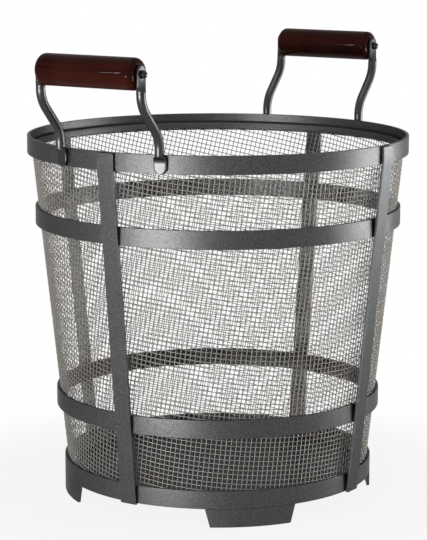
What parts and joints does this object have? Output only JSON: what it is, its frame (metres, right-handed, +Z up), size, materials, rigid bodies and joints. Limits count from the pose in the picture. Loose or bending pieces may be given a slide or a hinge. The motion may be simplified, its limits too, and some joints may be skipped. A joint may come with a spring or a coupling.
{
  "type": "log basket",
  "caption": "Round tapered log basket of flat steel bars and woven wire mesh, open at the top, on curved feet, with turned wooden grips that spin on rods between bent arms.",
  "frame": {"origin": "on the floor, under the middle of the basket", "axes": "+Z up; both grips lie along X, the front one on the -Y side and the back one on the +Y side"},
  "size_m": [0.413, 0.492, 0.4841],
  "materials": {
    "frame_bar": "gunmetal grey textured powder coat, satin",
    "mesh_wire": "dull grey woven steel wire",
    "arm_rod": "gunmetal grey, smoother and glossier than the bars",
    "cap_nut": "black gloss",
    "grip_rod": "plain steel",
    "grip_wood": "dark mahogany stain under gloss lacquer"
  },
  "bodies": {
    "basket": {"top_hoop": "frame_bar", "upper_hoop": "frame_bar", "lower_hoop": "frame_bar", "bottom_hoop": "frame_bar", "inner_ring": "frame_bar", "strap_front": "frame_bar", "strap_right": "frame_bar", "strap_back": "frame_bar", "strap_left": "frame_bar", "foot_front_right": "frame_bar", "foot_back_right": "frame_bar", "foot_back_left": "frame_bar", "foot_front_left": "frame_bar", "floor_plate": "frame_bar", "wire_mesh_back_right": "mesh_wire", "wire_mesh_back_left": "mesh_wire", "wire_mesh_front_left": "mesh_wire", "wire_mesh_front_right": "mesh_wire", "front_left_arm": "arm_rod", "front_right_arm": "arm_rod", "back_left_arm": "arm_rod", "back_right_arm": "arm_rod", "front_cap_nuts": "cap_nut", "back_cap_nuts": "cap_nut", "front_grip_rod": "grip_rod", "back_grip_rod": "grip_rod"},
    "front_grip": {"front_grip": "grip_wood"},
    "back_grip": {"back_grip": "grip_wood"}
  },
  "joints": [
    {"name": "front_grip_spin", "type": "hinge", "parent": "basket", "child": "front_grip", "pos_m": [0, -0.23004, 0.4681], "axis": [1, 0, 0], "continuous": true},
    {"name": "back_grip_spin", "type": "hinge", "parent": "basket", "child": "back_grip", "pos_m": [0, 0.23004, 0.4681], "axis": [1, 0, 0], "continuous": true}
  ]
}
